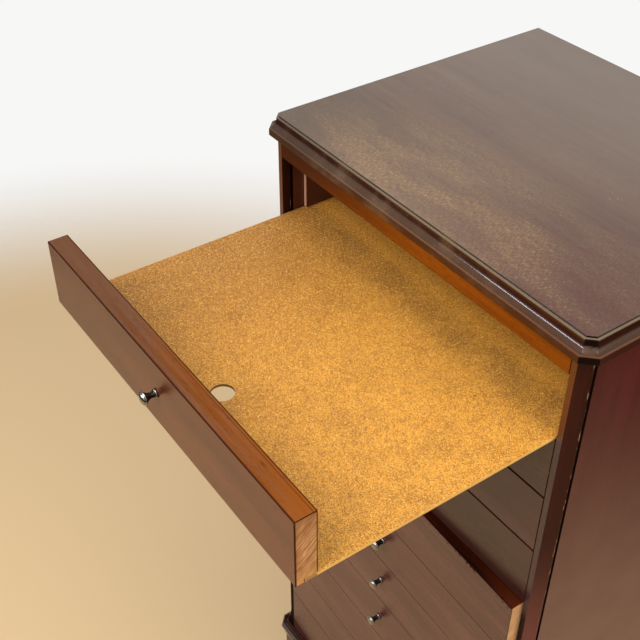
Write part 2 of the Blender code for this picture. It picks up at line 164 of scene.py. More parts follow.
floor_mesh = bpy.data.meshes.new("floor")
shape = bmesh.new()
bmesh.ops.create_circle(shape, cap_ends=True, radius=FLOOR_FADED, segments=FLOOR_SIDES)
shape.to_mesh(floor_mesh)
shape.free()
floor = bpy.data.objects.new("floor", floor_mesh)
floor.location = (*FLOOR_CENTRE, 0.0)
bpy.context.scene.collection.objects.link(floor)

floor_paint, tree = blank_material("pale matt floor")
spot = add(tree, "ShaderNodeTexCoord").outputs["Object"]
reach = add(tree, "ShaderNodeVectorMath", {0: spot}, operation="LENGTH").outputs["Value"]
fade = graded(tree, (reach, FLOOR_SOLID, FLOOR_FADED))
matt = add(tree, "ShaderNodeBsdfPrincipled", {"Base Color": colour("#c4aa82"), "Roughness": 0.8})
clear = add(tree, "ShaderNodeBsdfTransparent")
ground = add(tree, "ShaderNodeMixShader", {0: fade, 1: matt.outputs[0], 2: clear.outputs[0]})
add(tree, "ShaderNodeOutputMaterial", {"Surface": ground.outputs[0]})
floor_mesh.materials.append(floor_paint)
print("floor radius", FLOOR_FADED, "m")

# %% [markdown]
# ## The light
# Soft sources all round: the room itself (the world), a large softbox high at the front, another overhead
# and a weak one behind on the right, so the right side stays dark. A cool window, low and narrow at the
# front left, draws the bright line in the hollow of the top's moulding. Each stretch of the hollow mirrors
# another part of it, so its place and width decide where that line begins and ends. The background is plain
# white to the camera and to reflections, and a dimmer white as light, so a colour renders about as it is
# written.

# %% Light the room
ROOM_LIGHT = 0.62
UNDER_LIGHT = 0.04  # what a reflection meets below the horizon, past the floor
HORIZON = (-0.08, 0.02)  # how far up a ray points where the one goes over into the other
WARM_WHITE, COOL_WHITE = "#fff8ee", "#eceeff"

world = bpy.data.worlds.new("studio")
world.use_nodes = True
bpy.context.scene.world = world
tree = world.node_tree
tree.nodes.clear()
ray = add(tree, "ShaderNodeLightPath").outputs
reflections = {0: ray["Is Glossy Ray"], 1: ray["Is Transmission Ray"]}
mirrored = add(tree, "ShaderNodeMath", reflections, operation="MAXIMUM").outputs[0]
towards = add(tree, "ShaderNodeTexCoord").outputs["Generated"]
up = add(tree, "ShaderNodeSeparateXYZ", {0: towards}).outputs["Z"]
above = graded(tree, (up, *HORIZON))
bright = add(tree, "ShaderNodeMapRange", {"Value": mirrored, 3: ROOM_LIGHT, 4: 1.0}).outputs[0]
strength = add(tree, "ShaderNodeMapRange", {"Value": above, 3: UNDER_LIGHT, 4: bright}).outputs[0]
seen = add(tree, "ShaderNodeMath", {0: strength, 1: ray["Is Camera Ray"]}, operation="MAXIMUM").outputs[0]
sky = add(tree, "ShaderNodeBackground", {"Color": colour("#f7f7f6"), "Strength": seen})
add(tree, "ShaderNodeOutputWorld", {"Surface": sky.outputs[0]})


def softbox(name, place, target, wide, tall, watts, tint):
    """A rectangular area lamp that faces its target."""
    lamp = bpy.data.lights.new(name, "AREA")
    lamp.shape = "RECTANGLE"
    lamp.size = wide
    lamp.size_y = tall
    lamp.energy = watts
    lamp.color = colour(tint)[:3]
    holder = bpy.data.objects.new(name, lamp)
    holder.location = place
    holder.rotation_euler = (Vector(target) - Vector(place)).to_track_quat("-Z", "Y").to_euler()
    bpy.context.scene.collection.objects.link(holder)
    print(name, watts, "W")


softbox("front_softbox", (0.05, -1.75, 2.30), (0.0, -0.15, 0.80), 1.5, 1.7, 51.0, WARM_WHITE)
softbox("overhead_softbox", (0.45, -0.45, 2.70), (0.05, -0.10, 0.85), 1.4, 1.4, 14.0, WARM_WHITE)
softbox("right_softbox", (1.90, 0.55, 1.70), (0.0, 0.0, 0.60), 1.2, 1.2, 26.0, WARM_WHITE)
softbox("left_window", (-0.84, -2.05, 1.27), (-0.84, -0.05, 0.94), 0.8, 0.16, 16.0, COOL_WHITE)

# %% [markdown]
# ## Mahogany, stained and varnished
# The case is mahogany (and some cheaper timber stained to match it) under a satin varnish. To the eye that is
# a dark red brown with long soft streaks, fine dark pores along the grain and a clear sheen. The streaks
# could be painted, but noise stretched along the grain gives them at any size and on every face at once.
# Each noise is scaled in millimetres: so long along the grain, so wide across it.

# %% Wood grain helpers
AXES = {"X": 0, "Y": 1, "Z": 2}
FIGURE_MM, STREAK_MM, FINE_MM = (260, 38), (120, 4.5), (30, 1.4)  # length along the grain, width across it
PORE_MM = (9, 0.9)  # pores are finer in truth: drawn coarser to show at this size
PORE_TONE = "#22100a"


def per_metre(grain, along_mm, across_mm):
    """How often a pattern repeats per metre in x, y and z, for a grain that runs along one axis."""
    size = [across_mm] * 3
    size[AXES[grain]] = along_mm
    return [1000.0 / s for s in size]


def stretched(tree, place, grain, along_mm, across_mm, detail, shift=0.0):
    """Noise from 0 to 1 that is drawn out along the grain."""
    fit = {"Vector": place, "Scale": per_metre(grain, along_mm, across_mm), "Location": [shift] * 3}
    fitted = add(tree, "ShaderNodeMapping", fit).outputs[0]
    noise = add(tree, "ShaderNodeTexNoise", {"Vector": fitted, "Scale": 1.0, "Detail": detail})
    return noise.outputs["Fac"]


def grain_colours(tree, place, grain, dark, middle, light):
    """Streaked stain with its dark pores: returns the colour and the pores."""
    figure = stretched(tree, place, grain, *FIGURE_MM, 2.0, 3.7)
    streaks = stretched(tree, place, grain, *STREAK_MM, 4.0)
    fine = stretched(tree, place, grain, *FINE_MM, 3.0, 8.1)
    pores = graded(tree, (stretched(tree, place, grain, *PORE_MM, 2.0, 5.3), 0.56, 0.72))
    stain = toned(tree, dark, middle, (streaks, 0.30, 0.70))
    stain = toned(tree, stain, light, (figure, 0.40, 0.75, 0.0, 0.6))
    stain = toned(tree, stain, dark, (fine, 0.35, 0.75, 0.0, 0.35))
    stain = toned(tree, stain, PORE_TONE, (pores, 0.0, 1.0, 0.0, 0.55))
    return stain, pores


print("streak repeats per metre", [round(n) for n in per_metre("X", *STREAK_MM)])

# %% [markdown]
# Varnish is a clear film, so the wood's sheen is that of the film: an IOR of about 1.5 and a roughness from
# satin (0.26) on the fronts to duller (0.33) on the used top. Handling leaves it a little uneven, which a
# wide noise on the roughness shows, and the pores dent it, which a very shallow bump shows.

# %% Finish a stained piece
VARNISH_IOR = 1.50
DENT_STRENGTH, DENT_DEPTH = 0.6, 0.00006
HANDLED_MM = 45.0


def coated(tree, tone, relief, roughness, ior):
    """A surface of one tone, with its pores or saw marks as very shallow dents."""
    dents = {"Height": relief, "Strength": DENT_STRENGTH, "Distance": DENT_DEPTH}
    dented = add(tree, "ShaderNodeBump", dents, invert=True).outputs[0]
    film = {"Base Color": tone, "Roughness": roughness, "IOR": ior, "Normal": dented}
    return add(tree, "ShaderNodeBsdfPrincipled", film).outputs[0]


def varnish(tree, stain, pores, roughness, ior=VARNISH_IOR):
    """Stain under a satin film that handling has made a little uneven."""
    place = add(tree, "ShaderNodeTexCoord").outputs["Object"]
    handled = add(tree, "ShaderNodeTexNoise", {"Vector": place, "Scale": 1000.0 / HANDLED_MM, "Detail": 3.0})
    uneven = graded(tree, (handled.outputs["Fac"], 0.3, 0.7, -0.02, 0.03))
    dull = add(tree, "ShaderNodeMath", {0: uneven, 1: roughness}, operation="ADD").outputs[0]
    return coated(tree, stain, pores, dull, ior)


def mahogany(name, grain, dark, middle, light, roughness=0.30):
    """Stained mahogany with its grain along one axis."""
    material, tree = blank_material(name)
    place = add(tree, "ShaderNodeTexCoord").outputs["Object"]
    stain, pores = grain_colours(tree, place, grain, dark, middle, light)
    add(tree, "ShaderNodeOutputMaterial", {"Surface": varnish(tree, stain, pores, roughness)})
    print("finish", name)
    return material


mahogany_across = mahogany("varnished mahogany, grain across", "X", "#2f1612", "#3c1f19", "#4b2a22", 0.28)
mahogany_base = mahogany("varnished mahogany, base moulding", "X", "#27110b", "#351a11", "#452819", 0.22)
mahogany_deep = mahogany("varnished mahogany, grain front to back", "Y", "#2c120c", "#3d1b12", "#4d271a")

# %% [markdown]
# The top rail is orange, in part from its thin stain and in part painted bounce light: the glow that the
# golden hardboard throws up under the lip of the top. Its left end is painted a dark red brown, painted shade
# where that light falls off.

# %% Finish the top rail
RAIL_IOR = 1.12  # thin stain without a film hardly shines

mahogany_rail, tree = blank_material("mahogany rail, thin stain and painted glow")
where = add(tree, "ShaderNodeTexCoord").outputs
# Orange stain, in part painted bounce light from the hardboard below.
stain, _ = grain_colours(tree, where["Object"], "X", "#602e06", "#7a3c05", "#924d07")
along = add(tree, "ShaderNodeSeparateXYZ", {0: where["Generated"]}).outputs["X"]
# Painted shade: the rail darker towards its left end.
stain = toned(tree, stain, "#2a0f06", (along, 0.0, 0.72, 0.88, 0.0))
bare = add(tree, "ShaderNodeBsdfPrincipled", {"Base Color": stain, "Roughness": 0.45, "IOR": RAIL_IOR})
add(tree, "ShaderNodeOutputMaterial", {"Surface": bare.outputs[0]})
print("finish", mahogany_rail.name)

# %% [markdown]
# The sides are plain boards, deep red above and painted paler lower down: a painted reflection of the
# pale floor. Where they meet the stiles there is a narrow V joint, and a century of wax and dust has made it
# a black line. Dirt has no shine, so it gets a shader of its own, laid over the varnished wood with a Mix
# Shader.

# %% Finish the sides
SIDE_IOR = 1.56
DIRT_AND_SHADE_IOR = 1.05
SIDE_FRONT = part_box("side_panel_right")[0].y
JOINT_WIDTH, JOINT_SOFT = 0.0009, 0.0002
SIDE_SHEEN_HEIGHTS = (0.50, 0.86)  # heights from the faded to the deep red


def dirt_and_shade(tree, clean, where_dark):
    """Dull black over another surface: dirt, and painted shade where the caller asks for it."""
    black_coat = {"Base Color": colour("#0f0705"), "Roughness": 0.8, "IOR": DIRT_AND_SHADE_IOR}
    blackness = add(tree, "ShaderNodeBsdfPrincipled", black_coat).outputs[0]
    coat = add(tree, "ShaderNodeMixShader", {0: where_dark, 1: clean, 2: blackness})
    add(tree, "ShaderNodeOutputMaterial", {"Surface": coat.outputs[0]})


mahogany_side, tree = blank_material("varnished mahogany side")
place = add(tree, "ShaderNodeTexCoord").outputs["Object"]
spot = add(tree, "ShaderNodeSeparateXYZ", {0: place}).outputs
stain, pores = grain_colours(tree, place, "Z", "#42110b", "#50160f", "#5d1f17")
# Painted reflection of the floor: the sides paler lower down.
stain = toned(tree, stain, "#5c2f2c", (spot["Z"], *SIDE_SHEEN_HEIGHTS, 0.85, 0.0))
film = varnish(tree, stain, pores, 0.32, SIDE_IOR)
joint_end = SIDE_FRONT + JOINT_WIDTH
dirt_and_shade(tree, film, graded(tree, (spot["Y"], joint_end, joint_end + JOINT_SOFT, 1.0, 0.0)))
print("finish", mahogany_side.name)

# %% [markdown]
# The stiles mirror two different things. Their flat fronts face the pale floor like the drawer fronts beside
# them and look greyish, and their stain is greyed to match, in part a painted reflection. Their canted faces
# turn away to the darker side of the room, and their colour is painted a deep red brown for that shade,
# paler downwards. The finish therefore asks which way the surface faces. Knocks have chipped the outer arris
# of the cant down to pale wood, and behind it runs the black joint. Beside the door the narrow flat fronts
# are painted black, painted shadow of the door and its gap, deepest along the hinges. At the very top they
# are painted as orange as the rail between them, the same painted bounce light.

# %% Finish the stiles
CANT_IOR = 1.22  # the cant has lost its gloss
CHIP_MM = (16, 1.6)
CHIPPED_FROM, CHIPPED_SOFT = -0.0390, 0.0004  # y of the knocked strip along the outer arris
JOINT_FROM = -0.0376
PAINTED_GLOW_ABOVE, CANT_FADES, BESIDE_DOOR = (0.828, 0.838), (0.54, 0.72), (0.585, 0.605)  # heights
MIDDLE = (-0.01, 0.01)
HINGE_SIDE, CATCH_SIDE = 0.93, 0.70  # how black the fronts are to the left and to the right of the door

mahogany_stile, tree = blank_material("varnished mahogany stile, dark cant")
where = add(tree, "ShaderNodeTexCoord").outputs
place = where["Object"]
spot = add(tree, "ShaderNodeSeparateXYZ", {0: place}).outputs
# The flat fronts' greyed stain is in part a painted reflection of the floor.
stain, pores = grain_colours(tree, place, "Z", "#28151a", "#341c23", "#43282e")
# Painted bounce light: the tops of the stiles orange like the rail.
stain = toned(tree, stain, "#54270a", (spot["Z"], *PAINTED_GLOW_ABOVE, 0.0, 0.85))
# Painted shade: the cant's dark colour stands for the darker side of the room that it faces.
shaded_cant, _ = grain_colours(tree, place, "Z", "#250b05", "#300f08", "#3e180f")
shaded_cant = toned(tree, shaded_cant, "#673a31", (spot["Z"], *CANT_FADES, 0.9, 0.0))
knocks = stretched(tree, place, "Z", *CHIP_MM, 3.0, 2.2)
chips = graded(tree, (knocks, 0.56, 0.64), (spot["Y"], CHIPPED_FROM, CHIPPED_FROM + CHIPPED_SOFT))
shaded_cant = toned(tree, shaded_cant, "#9c7255", (chips, 0.0, 1.0, 0.0, 0.85))
forward = add(tree, "ShaderNodeSeparateXYZ", {0: where["Normal"]}).outputs["Y"]
flat_front = graded(tree, (forward, -0.97, -0.90, 1.0, 0.0))
cant = coated(tree, shaded_cant, pores, 0.40, CANT_IOR)
front = coated(tree, stain, pores, 0.26, VARNISH_IOR)
clean = add(tree, "ShaderNodeMixShader", {0: flat_front, 1: cant, 2: front}).outputs[0]
# Painted shadow of the door and its gap on the flat fronts beside it, blacker on the hinge side.
sides = (spot["X"], *MIDDLE, HINGE_SIDE, CATCH_SIDE)
door_shadow = graded(tree, sides, (spot["Z"], *BESIDE_DOOR, 1.0, 0.0), flat_front)
joint = graded(tree, (spot["Y"], JOINT_FROM, JOINT_FROM + JOINT_SOFT))
black = add(tree, "ShaderNodeMath", {0: joint, 1: door_shadow}, operation="MAXIMUM").outputs[0]
dirt_and_shade(tree, clean, black)
print("finish", mahogany_stile.name)

# %% [markdown]
# ## The used top
# The top has had the most use. Its varnish is thin and crazed, so fine golden dashes show across the grain,
# in patches between greyer streaks. Their golden silk and its band along the front are in part painted sheen,
# the way the figure catches the light. Towards the back it is painted greyer, a painted sheen of the bright
# room; the front right corner is painted a deeper red, where less of that sheen reaches the eye, and the
# front left is browner. A few pale scratches cross it.
# All this goes by how far to the right and to the back a point lies (Generated runs from 0 to 1 over the
# board).

# %% Finish the flat of the top
DASH_MM = (4.5, 0.55)  # coarser than real crazing, to show at this size
SCRATCH_MM, SCRATCHES = (16, 0.7), ((25, 0.4), (-35, 7.7))  # the slants in degrees, each with a shift
SILK_FADES = (("Y", 0.05, 0.54, 1.0, 0.05), ("X", 0.45, 1.0, 1.0, 0.45), ("X", 0.0, 0.35, 0.35, 1.0))

mahogany_top, tree = blank_material("worn mahogany top")
where = add(tree, "ShaderNodeTexCoord").outputs
place = where["Object"]
spot = add(tree, "ShaderNodeSeparateXYZ", {0: place}).outputs
share = add(tree, "ShaderNodeSeparateXYZ", {0: where["Generated"]}).outputs
stain, pores = grain_colours(tree, place, "X", "#503b2f", "#5d4739", "#665142")
# Painted sheen: greyer towards the back.
stain = toned(tree, stain, "#65574d", (share["Y"], 0.25, 0.90, 0.0, 0.78))
# Painted: the front right corner a deeper red, where less sheen shows.
stain = toned(tree, stain, "#3f160a", (share["X"], 0.40, 0.92), (share["Y"], 0.10, 0.70, 0.95, 0.0))
stain = toned(tree, stain, "#3a2a1d", (share["X"], 0.0, 0.50, 0.75, 0.0), (share["Y"], 0.10, 0.50, 1.0, 0.0))
streak = stretched(tree, place, "X", 130, 16, 3.0, 4.3)
stain = toned(tree, stain, "#473b35", (streak, 0.36, 0.60, 0.12, 0.0))
patches = stretched(tree, place, "X", 90, 30, 3.0, 1.3)
fades = [(share[axis], *span) for axis, *span in SILK_FADES]
# Silk: the golden tone of the figure along the front, in part painted sheen.
silk = graded(tree, (patches, 0.35, 0.62, 0.5, 1.0), *fades)
dashes = stretched(tree, place, "Y", *DASH_MM, 2.0, 2.9)
flecks = graded(tree, (dashes, 0.49, 0.60), silk)
stain = toned(tree, stain, "#745838", (silk, 0.0, 1.0, 0.0, 0.30))
stain = toned(tree, stain, "#ab8a5e", (flecks, 0.0, 1.0, 0.0, 0.50))
for slant, shift in SCRATCHES:
    turned = add(tree, "ShaderNodeMapping", {"Vector": place, "Rotation": [0.0, 0.0, math.radians(slant)]})
    scratch = stretched(tree, turned.outputs[0], "X", *SCRATCH_MM, 1.0, shift)
    stain = toned(tree, stain, "#b59a7a", (scratch, 0.79, 0.84, 0.0, 0.7))
print("started", mahogany_top.name)

# %% [markdown]
# The moulded edge tells its own story by height: a black line in the step, old wax and painted shade in its
# corner, a pale fillet where dusting has rubbed the stain away, a dark red hollow that turns brown lower down
# (in part a painted reflection: its steep part mirrors the dark floor, its lower part the bright room), a
# thin worn arris and an orange brown fascia. A colour ramp over the depth below the top gives these bands all
# round, at the clipped corners too. The ramp's alpha says how far each band covers the grain. The whole edge
# is painted darker towards the left, painted shade where the light falls off. The hollow is smoother than the
# flat, but it isn't waxed, so it mirrors less. Dust and polish have built up black across the clipped
# corners, which face both ways at once.

# %% Finish the moulded edge of the top
TOP_LOW, TOP_HIGH = (corner.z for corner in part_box("top_board"))
TOP_MM = (TOP_HIGH - TOP_LOW) * 1000
# The step's black is old wax and painted shade; the hollow's dark red that turns brown is in part a painted
# reflection.
EDGE_BANDS = (  # depth below the top in mm, colour, cover
    (0.01, "#0e0604", 0.0),
    (0.04, "#0e0604", 0.97),
    (1.42, "#0e0604", 0.97),
    (1.46, "#6a5c48", 0.90),
    (1.90, "#5c4c36", 0.90),
    (2.10, "#4a3520", 0.90),
    (2.30, "#584832", 0.90),
    (2.55, "#584832", 0.90),
    (2.75, "#2a1008", 0.95),
    (7.00, "#2a110a", 0.95),
    (10.5, "#3b2512", 0.94),
    (12.9, "#39200d", 0.94),
    (13.15, "#5a3a24", 0.85),
    (13.25, "#5a3a24", 0.85),
    (13.4, "#371503", 0.97),
)
HOLLOW_MM, HOLLOW_SOFT = (2.7, 12.8), 0.02  # its depths, and how softly it begins and ends
POLISHED, HANDLED, CLOGGED = 0.14, 0.33, 0.55  # roughness in the hollow, on the flat, at the corners
TOP_IOR, EDGE_IOR = 1.56, 1.36  # the flat is waxed, the moulded edge isn't

deep = add(tree, "ShaderNodeMapRange", {"Value": spot["Z"], 1: TOP_HIGH, 2: TOP_LOW}).outputs[0]
bands = add(tree, "ShaderNodeValToRGB", {"Fac": deep})
ramp = bands.color_ramp.elements
while len(ramp) < len(EDGE_BANDS):
    ramp.new(1.0)
for stop, (depth_mm, tone, cover) in zip(ramp, EDGE_BANDS):
    stop.position = depth_mm / TOP_MM
    stop.color = colour(tone)[:3] + (cover,)
rubbed = stretched(tree, place, "X", 30, 30, 3.0, 6.6)
# Painted shade: the whole edge darker towards the left.
shaded_left = toned(tree, bands.outputs["Color"], "#1c0a04", (share["X"], 0.0, 0.6, 0.45, 0.0))
stain = toned(tree, stain, shaded_left, bands.outputs["Alpha"], (rubbed, 0.25, 0.55, 0.6, 1.0))
facing = add(tree, "ShaderNodeSeparateXYZ", {0: where["Normal"]}).outputs
skew = graded(tree, facing["X"], facing["Y"])
skew = add(tree, "ShaderNodeMath", {0: skew}, operation="ABSOLUTE").outputs[0]
start, end = (mm / TOP_MM for mm in HOLLOW_MM)
edge = graded(tree, (deep, start, start + HOLLOW_SOFT))
fascia = graded(tree, (deep, end, end + HOLLOW_SOFT))
hollow = add(tree, "ShaderNodeMath", {0: edge, 1: fascia}, operation="SUBTRACT").outputs[0]
polish = graded(tree, (hollow, 0.0, 1.0, HANDLED, POLISHED))
pores = graded(tree, pores, (hollow, 0.0, 1.0, 1.0, 0.0))
dullness = graded(tree, (skew, 0.03, 0.10, polish, CLOGGED))
waxed, plain = (varnish(tree, stain, pores, dullness, ior) for ior in (TOP_IOR, EDGE_IOR))
film = add(tree, "ShaderNodeMixShader", {0: edge, 1: waxed, 2: plain}).outputs[0]
dirt_and_shade(tree, film, graded(tree, (skew, 0.33, 0.44, 0.0, 0.92)))
print("finish", mahogany_top.name, "with", len(ramp), "bands")

# %% [markdown]
# ## Fronts with raw ends
# The fronts and the door were stained and varnished after they were cut, but their ends were left as the saw
# left them: brown wood with slanting marks. Their upper edges got less stain and are redder or more orange
# than the faces. One finish can hold all this, if it asks which way the surface faces (its normal) and how
# deep behind the face a point lies. Both stay with the piece when it slides or swings.

# %% Saw marks and depth behind a face
SAW_SLANT = math.radians(40)
SAW_MM = (14, 0.9)  # finer in truth: drawn coarser to show at this size


def sawn_end(tree, place, share, pale, scored, upper, lower):
    """Raw end wood with slanting saw marks: returns the colour and the marks."""
    turned = add(tree, "ShaderNodeMapping", {"Vector": place, "Rotation": [-SAW_SLANT, 0.0, 0.0]})
    marks = stretched(tree, turned.outputs[0], "Y", *SAW_MM, 2.0)
    tone = stretched(tree, place, "Z", 30, 9, 2.0, 4.4)
    wood = toned(tree, pale, scored, (tone, 0.35, 0.65, 0.0, 0.5))
    wood = toned(tree, wood, scored, (marks, 0.44, 0.56, 0.0, 0.85))
    wood = toned(tree, wood, upper, (share["Z"], 0.55, 1.0, 0.0, 0.5))
    wood = toned(tree, wood, lower, (share["Z"], 0.0, 0.25, 0.5, 0.0))
    return wood, marks


def depth_behind(tree, place, node, ajar):
    """0 on the face of a front, 1 on its back."""
    inwards = (math.sin(ajar), math.cos(ajar), 0.0)
    reach = np.array([v.co for v in node.data.vertices]) @ np.array(inwards)
    along = add(tree, "ShaderNodeVectorMath", {0: place, 1: inwards}, operation="DOT_PRODUCT")
    span = {"Value": along.outputs["Value"], 1: reach.min(), 2: reach.max()}
    return add(tree, "ShaderNodeMapRange", span).outputs[0]


print("saw marks", SAW_MM[1], "mm wide")

# %% [markdown]
# Varnish has gathered into dark lines along both arrises of each upper edge, and a lipping strip glued along
# its back shows as a faint seam. Knocks have broken chips out of the front arris: fresh ones show pale wood,
# old ones have gone black, and either way the film is lost there.

# %% Dark lines and chips
FACES = (0.80, 0.92)  # how squarely a surface points along an axis before it counts
FRONT_LINE, BACK_LINE, NEAR_FACE = (0.04, 0.10), (0.91, 0.96), (0.06, 0.16)  # depths behind the face
SEAM_DEPTH, SEAM_HALF = 0.83, 0.022
KNOCK_MM = 5.0
KNOCKED_FACE, KNOCKED_EDGE = (0.9905, 0.9945), (0.97, 0.99)  # heights, as shares, above which chips show


def dark_lines(tree, share, facing, depth, off_face):
    """Varnish gathered along the arrises, and the seam of the lipping."""
    front_line = graded(tree, (depth, *FRONT_LINE, 1.0, 0.0))
    back_line = graded(tree, (depth, *BACK_LINE))
    lines = add(tree, "ShaderNodeMath", {0: front_line, 1: back_line}, operation="MAXIMUM").outputs[0]
    seam = add(tree, "ShaderNodeMath", {0: depth, 1: SEAM_DEPTH, 2: SEAM_HALF}, operation="COMPARE")
    seam = graded(tree, seam.outputs[0], (share["X"], 0.25, 0.6, 0.0, 0.55), (facing["Z"], *FACES))
    lines = add(tree, "ShaderNodeMath", {0: lines, 1: seam}, operation="MAXIMUM").outputs[0]
    return graded(tree, lines, off_face)


def chipped_arris(tree, place, share, depth, off_face, chips):
    """Where knocks have broken the film: more of them for a larger number of chips."""
    knocks = add(tree, "ShaderNodeTexNoise", {"Vector": place, "Scale": 1000.0 / KNOCK_MM, "Detail": 4.0})
    broken = (knocks.outputs["Fac"], 0.70 - chips, 0.74 - chips)
    rim = graded(tree, (share["Z"], *KNOCKED_FACE))
    rim = add(tree, "ShaderNodeMath", {0: off_face, 1: rim}, operation="MAXIMUM").outputs[0]
    return graded(tree, broken, (depth, *NEAR_FACE, 1.0, 0.0), rim, (share["Z"], *KNOCKED_EDGE))


print("seam", SEAM_DEPTH, "of the way back")

# %% Finish the fronts
DOOR_AJAR = math.radians(2.0)
BARE_IOR = 1.10  # thin stain without a film hardly shines
TRAY_IOR = 1.39  # the film on the pulled tray is worn thin


def fronts(name, node, face, edge, ends, chips, chip_tone, film_ior=VARNISH_IOR, ajar=0.0):
    """Front finish: varnished face, redder upper edge with dark arrises, raw sawn ends."""
    material, tree = blank_material(name)
    where = add(tree, "ShaderNodeTexCoord").outputs
    place = where["Object"]
    share = add(tree, "ShaderNodeSeparateXYZ", {0: where["Generated"]}).outputs
    facing = add(tree, "ShaderNodeVectorMath", {0: where["Normal"]}, operation="ABSOLUTE").outputs[0]
    facing = add(tree, "ShaderNodeSeparateXYZ", {0: facing}).outputs
    off_face = add(tree, "ShaderNodeMath", {0: facing["Y"], 1: 0.9}, operation="LESS_THAN").outputs[0]
    depth = depth_behind(tree, place, nodes[node], ajar)
    stain, pores = grain_colours(tree, place, "X", *face)
    upper, _ = grain_colours(tree, place, "X", *edge)
    # Painted light: the upper edge darker towards the left and lighter at the right end, as the light falls
    # off.
    upper = toned(tree, upper, edge[0], (share["X"], 0.0, 0.70, 0.70, 0.0))
    upper = toned(tree, upper, edge[2], (share["X"], 0.84, 1.0, 0.0, 0.60))
    sawn, marks = sawn_end(tree, place, share, *ends)
    end = graded(tree, (facing["X"], *FACES))
    stain = toned(tree, stain, upper, (facing["Z"], *FACES))
    stain = toned(tree, stain, sawn, end)
    lines = dark_lines(tree, share, facing, depth, off_face)
    stain = toned(tree, stain, "#260d06", (lines, 0.0, 1.0, 0.0, 0.8))
    chipped = chipped_arris(tree, place, share, depth, off_face, chips)
    stain = toned(tree, stain, chip_tone, chipped)
    relief = add(tree, "ShaderNodeMix", {0: end, 2: pores, 3: marks}).outputs[0]
    film = coated(tree, stain, relief, 0.26, film_ior)
    bare = coated(tree, stain, relief, 0.60, BARE_IOR)
    filmless = add(tree, "ShaderNodeMath", {0: off_face, 1: chipped}, operation="MAXIMUM").outputs[0]
    coat = add(tree, "ShaderNodeMixShader", {0: filmless, 1: film, 2: bare})
    add(tree, "ShaderNodeOutputMaterial", {"Surface": coat.outputs[0]})
    print("finish", name)
    return material


BROWN_FACE = ("#3f1809", "#50220b", "#663012")
# GREYED_FACE: greyer and darker, in part painted shade under the pulled tray and a painted reflection of the
# room.
GREYED_FACE = ("#371a18", "#452423", "#552f2b")
REDDER_FACE = ("#401f1a", "#532c26", "#6a4036")
ORANGE_EDGE = ("#5e4130", "#5a2d07", "#84460f")
# RED_EDGE: the door's own dark red top edge; on the closed trays these edges are painted shade too, so the
# gaps read black.
RED_EDGE = ("#160604", "#360f08", "#54230d")
FRESH_CHIP, OLD_CHIP = "#84664c", "#160a06"  # pale wood, or wood that has gone black
TRAY_ENDS = ("#d59f6c", "#9a6236", "#87562f", "#e2a95f")  # pale and scored wood, tones above and below
DOOR_ENDS = ("#d5a778", "#9f6c41", "#d5a778", "#ae7d4d")
mahogany_tray_front = fronts(
    "mahogany tray front, raw ends", "tray_front_1", BROWN_FACE, ORANGE_EDGE, TRAY_ENDS,
    chips=0.02, chip_tone=FRESH_CHIP, film_ior=TRAY_IOR,
)
mahogany_closed_front = fronts(
    "mahogany tray front, edges painted dark", "tray_front_2", GREYED_FACE, RED_EDGE, TRAY_ENDS,
    chips=0.0, chip_tone=FRESH_CHIP,
)
mahogany_door = fronts(
    "mahogany door, raw ends", "door_panel", REDDER_FACE, RED_EDGE, DOOR_ENDS,
    chips=0.13, chip_tone=OLD_CHIP, ajar=DOOR_AJAR,
)

# %% [markdown]
# ## Hardboard
# The tray boards are hardboard: steamed wood fibres pressed into a smooth, dense golden sheet. Close up it is
# a felt of short fibres that lie every way, some darker and some paler. Stretched noises at 60 degrees to
# each other, cut off into dashes, give such a felt. Real fibres are about 0.2 mm wide, too fine for this
# picture, so they are drawn two to three times as coarse. A browned band a little before the mouth of the
# case is in part stain from hands and dust, in part painted shadow of the overhanging top. The strip behind
# it, at the mouth, is painted a brighter gold, painted light under that overhang. The left side is painted a
# little darker, painted falloff of the light, and the end of a board in the groove of its front is brown. The
# sawn edges of a board are painted paler, a painted highlight, and the walls of its finger hole darker,
# painted shade.

# %% Finish the hardboard
FIBRES = ((4.0, 0.40, 0.0), (1.2, 0.60, 40.0))  # length and width in mm of pale and dark ones, and a shift
FIBRE_TURNS = (0, 60, 120)  # degrees
CLOUD_MM, MOTTLE_MM = 40.0, 5.5
SMEAR_AND_SHADOW_SHARE = (0.72, 0.785, 0.85, 0.90)  # from front to back: the browned band starts, is full, fades, ends
GROOVE_SHARE = (0.030, 0.036)
HOLE_HALF = 0.17  # the finger hole lies within this share of the width on either side of the middle
HARDBOARD_IOR = 1.45
FELT_STRENGTH, FELT_DEPTH = 0.15, 0.00005


def fibre_felt(tree, place, long, wide, shift):
    """Short fibres that lie every way."""
    felt = 0.0
    for turn in FIBRE_TURNS:
        lay = add(tree, "ShaderNodeMapping", {"Vector": place, "Rotation": [0.0, 0.0, math.radians(turn)]})
        fibres = stretched(tree, lay.outputs[0], "X", long, wide, 2.0, turn + shift)
        fibres = graded(tree, (fibres, 0.59, 0.65))
        felt = add(tree, "ShaderNodeMath", {0: felt, 1: fibres}, operation="MAXIMUM").outputs[0]
    return felt


